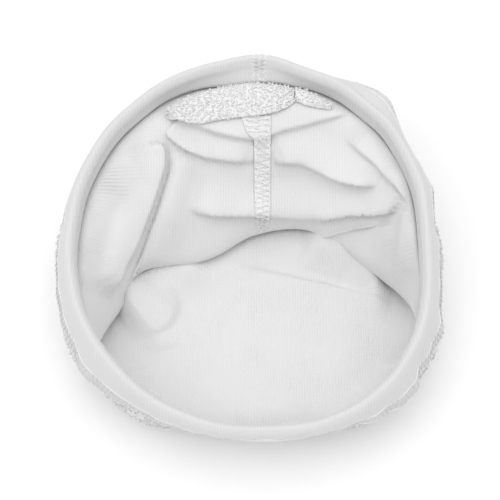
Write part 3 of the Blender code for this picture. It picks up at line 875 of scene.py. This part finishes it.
stitch_count = 2 * int(2 * np.pi * EDGE_RADIUS / EDGE_PITCH / 2)
corners = np.arange(2 * stitch_count)
laid = outside_of_cuff(corners * 180.0 / stitch_count, EDGE_DEPTHS, 0.1)
zigzag = laid[np.where(corners % 2 == 0, 0, 2), corners]
needle_line = outside_of_cuff(ALL_ROUND, EDGE_DEPTHS, 0.0)[0]
edge_stitches = thread_along(
    "cuff_edge_stitches", [closed_path(zigzag), closed_path(needle_line)], radius=0.22,
)
edge_line = cuff_places(ALL_ROUND, EDGE_DEPTHS[-1:])[0] - [0.0, 0.0, 0.3]
edge_cord = thread_along("cuff_edge_roll", [closed_path(edge_line)], radius=0.95)
ridge = cuff_places(RIDGE_SEAM, np.linspace(0.1, 3.7, 24))
ridge_paths = seam_paths(ridge, pitch=3.4, clearance=CUFF_CLOTH / 2 + 0.05)
ridge_stitches = thread_along("ridge_seam_stitches", ridge_paths, radius=0.16)

# %% [markdown]
# Terry loops: one small arch of yarn is spun from a three-sided circle, and copied to thousands
# of places, turned and sized at random. They stand on the two facings first. They are coarser
# than real ones, so that they show in the picture.

# %% Terry loops
def yarn_arch(radius, yarn_radius, steps):
    """A small arch of yarn standing on the ground, as vertices and faces, in mm."""
    shape = bmesh.new()
    start = bmesh.ops.create_circle(shape, cap_ends=False, segments=3, radius=yarn_radius)
    bmesh.ops.translate(shape, verts=shape.verts, vec=(radius, 0.0, 0.0))
    bmesh.ops.spin(
        shape, geom=start["verts"] + shape.edges[:], cent=(0, 0, 0), axis=(0, -1, 0),
        angle=np.pi, steps=steps,
    )
    bmesh.ops.scale(shape, vec=(1.0, 1.0, 1.7), verts=shape.verts)
    shape.verts.index_update()
    verts = np.array([v.co[:] for v in shape.verts])
    faces = np.array([[v.index for v in f.verts] for f in shape.faces])
    shape.free()
    return verts, faces


def scattered(name, template, places, normals):
    """One mesh of many copies of a template, each standing along its normal."""
    verts, faces = template
    count = len(places)
    any_way = rng.normal(size=(count, 3))
    up = normals + 0.35 * rng.normal(size=(count, 3))
    up /= np.linalg.norm(up, axis=1, keepdims=True)
    side = np.cross(up, any_way)
    side /= np.linalg.norm(side, axis=1, keepdims=True)
    front = np.cross(up, side)
    size = rng.uniform(0.75, 1.2, (count, 1, 1))
    turned = verts[None, :, 0:1] * side[:, None] + verts[None, :, 1:2] * front[:, None]
    turned = (turned + verts[None, :, 2:3] * up[:, None]) * size + places[:, None]
    every = faces[None] + (np.arange(count) * len(verts))[:, None, None]
    mesh = bpy.data.meshes.new(name)
    mesh.from_pydata(turned.reshape(-1, 3) * MM, [], every.reshape(-1, faces.shape[1]).tolist())
    mesh.shade_smooth()
    piece = bpy.data.objects.new(name, mesh)
    bpy.context.scene.collection.objects.link(piece)
    piece.data.materials.append(yarn)
    print(name, count, "loops,", 2 * len(mesh.polygons), "triangles")
    return piece


def loops_on_strip(strip, name, spacing):
    """Loops all over a strip, spacing mm apart and a little off their rows."""
    tree = tree_of(strip)
    plan = strip_plan(name, spacing)
    plan = plan + rng.uniform(-0.45, 0.45, plan.shape) * spacing
    places, normals = [], []
    for x, y in plan.reshape(-1, 2):
        hit, normal = top_of(tree, x, y)[:2]
        if hit is not None:
            places.append(np.array(hit) / MM)
            normals.append(np.array(normal))
    piece_name = strip.name.replace("cloth", "loops")
    return scattered(piece_name, FACING_ARCH, np.array(places), np.array(normals))


FACING_ARCH = yarn_arch(radius=0.44, yarn_radius=0.25, steps=6)
FACING_SPACING = 1.4  # mm
loops_left = loops_on_strip(facing_left, "hem_facing_left", FACING_SPACING)
loops_right = loops_on_strip(facing_right, "hem_facing_right", FACING_SPACING)

# %% [markdown]
# The whole outside of the crown is terry, and its loops give the silhouette a soft, crumbly
# edge. The cells of the wall's grid that show there are laid end to end by their area, and a loop
# is set at even steps along that length. So the loops stand as close on small cells as on large
# ones, which a count for each cell wouldn't give.

# %% Loops on the outside
OUTER_ARCH = yarn_arch(radius=0.62, yarn_radius=0.26, steps=4)
OUTER_LOOPS = 8200
STANDING_FROM, SUNKEN_FROM, OUTSIDE_TO = 1.6, 7.6, 12.2  # depths between which the wall faces out
OFF_FLOOR = 2.5  # mm
BELOW_RIM = 12.0  # mm, where the cuff hides the wall
LOOKS_UP = -0.8  # past this, the outer side looks up and lies inside a fold

outer = closed_round(inside - CLOTH * facing_in(inside))
face_in = closed_round(facing_in(inside))[:-1, :-1]
cells = outer[:-1, :-1]
next_row, next_column = outer[1:, :-1] - cells, outer[:-1, 1:] - cells
stands = column(SECTIONS, SECTION_NAMES, "sunk", wall_angles) < 0.3
rim_height = column(SECTIONS, SECTION_NAMES, "high", wall_angles)
depth = wall_depths[:-1, None]
shown = (depth > np.where(stands, STANDING_FROM, SUNKEN_FROM)) & (depth < OUTSIDE_TO)
shown &= (cells[..., 2] > OFF_FLOOR) & (cells[..., 2] < rim_height - BELOW_RIM)
shown &= face_in[..., 2] > LOOKS_UP
areas = (np.linalg.norm(np.cross(next_row, next_column), axis=-1) * shown).ravel()
total = np.cumsum(areas)
aims = (np.arange(OUTER_LOOPS) + rng.uniform(0, 1, OUTER_LOOPS)) / OUTER_LOOPS * total[-1]
chosen = np.searchsorted(total, aims)
shares = rng.uniform(0, 1, (2, OUTER_LOOPS, 1))
corner, down, side = (grid.reshape(-1, 3)[chosen] for grid in (cells, next_row, next_column))
outer_places = corner + shares[0] * down + shares[1] * side
outer_normals = -face_in.reshape(-1, 3)[chosen]
loops_outside = scattered("terry_loops_outside", OUTER_ARCH, outer_places, outer_normals)

# %% [markdown]
# Every piece rides on the imported model's only body. A piece that stands for a imported part
# replaces it, and the loops and threads only add to it.

# %% Place the pieces in the frame
PIECES = (
    (crown, "terry_knit", "crown"), (cuff, "jersey_band", "cuff"),
    (seam, "serged_edge", "front_seam"),
    (facing_left, "terry_facing", "hem_facing_left"),
    (facing_right, "terry_facing", "hem_facing_right"),
    (seam_stitches, "serged_edge", None),
    (edge_stitches, "serged_edge", None), (edge_cord, "serged_edge", None),
    (ridge_stitches, "serged_edge", None),
    (loops_left, "terry_facing", None), (loops_right, "terry_facing", None),
    (loops_outside, "terry_knit", None),
)
for piece, slot, node in PIECES:
    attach(piece, "root")
    if node:
        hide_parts(node)

print(len(PIECES), "pieces placed")

# %% [markdown]
# The photograph has an almost white floor and almost no shadow, so the light is a bright world,
# dimmer towards the horizon, with one wide lamp overhead and a weak one at the left. The camera
# looks down at 65 degrees, from far enough to keep the sides straight.

# %% Floor, light and camera
HORIZON_GLOW, SKY_GLOW = 0.42, 1.09  # how bright the world is level and straight up
ELEVATION = np.radians(65.0)
CAMERA_DISTANCE = 0.66  # metres
AIM = Vector((0.0007, -0.0089, 0.059))  # what the middle of the picture shows

bpy.ops.mesh.primitive_plane_add(size=8.0)
floor = bpy.context.object
floor.name = "studio_floor"
floor.data.materials.append(cotton("matt_paper_floor", "#FFFFFF", fuzz=0.0))

world = bpy.data.worlds.new("studio")
bpy.context.scene.world = world
world.use_nodes = True
world.node_tree.nodes["Background"].inputs["Color"].default_value = (1.0, 1.0, 1.0, 1.0)
way = add_node(world, "ShaderNodeTexCoord")
height = add_node(world, "ShaderNodeSeparateXYZ", None, {0: (way, "Generated")})
glow = add_node(
    world, "ShaderNodeMapRange", None,
    {"Value": (height, "Z"), "To Min": HORIZON_GLOW, "To Max": SKY_GLOW},
)
world.node_tree.links.new(
    glow.outputs["Result"], world.node_tree.nodes["Background"].inputs["Strength"]
)


def soft_light(name, place, power, size):
    """A square lamp that looks at the turban, size metres wide."""
    light = bpy.data.lights.new(name, "AREA")
    light.energy = power
    light.size = size
    lamp = bpy.data.objects.new(name, light)
    lamp.location = place
    lamp.rotation_mode = "QUATERNION"
    lamp.rotation_quaternion = (Vector((0, 0, 0.04)) - lamp.location).to_track_quat("-Z", "Y")
    bpy.context.scene.collection.objects.link(lamp)


soft_light("key_from_the_left", (-0.60, -0.30, 1.2), power=1.4, size=0.6)
soft_light("fill_from_above", (0.0, 0.0, 1.4), power=3.6, size=1.0)

lens = bpy.data.cameras.new("camera")
lens.lens = 100.0
lens.sensor_width = 36.0
camera = bpy.data.objects.new("camera", lens)
back_to_camera = Vector((0.0, -np.cos(ELEVATION), np.sin(ELEVATION)))
camera.location = AIM + back_to_camera * CAMERA_DISTANCE
camera.rotation_mode = "QUATERNION"
camera.rotation_quaternion = (-back_to_camera).to_track_quat("-Z", "Y")
bpy.context.scene.collection.objects.link(camera)
bpy.context.scene.camera = camera
bpy.context.scene.view_settings.view_transform = "Standard"
print("camera at", [round(v, 3) for v in camera.location], "metres")
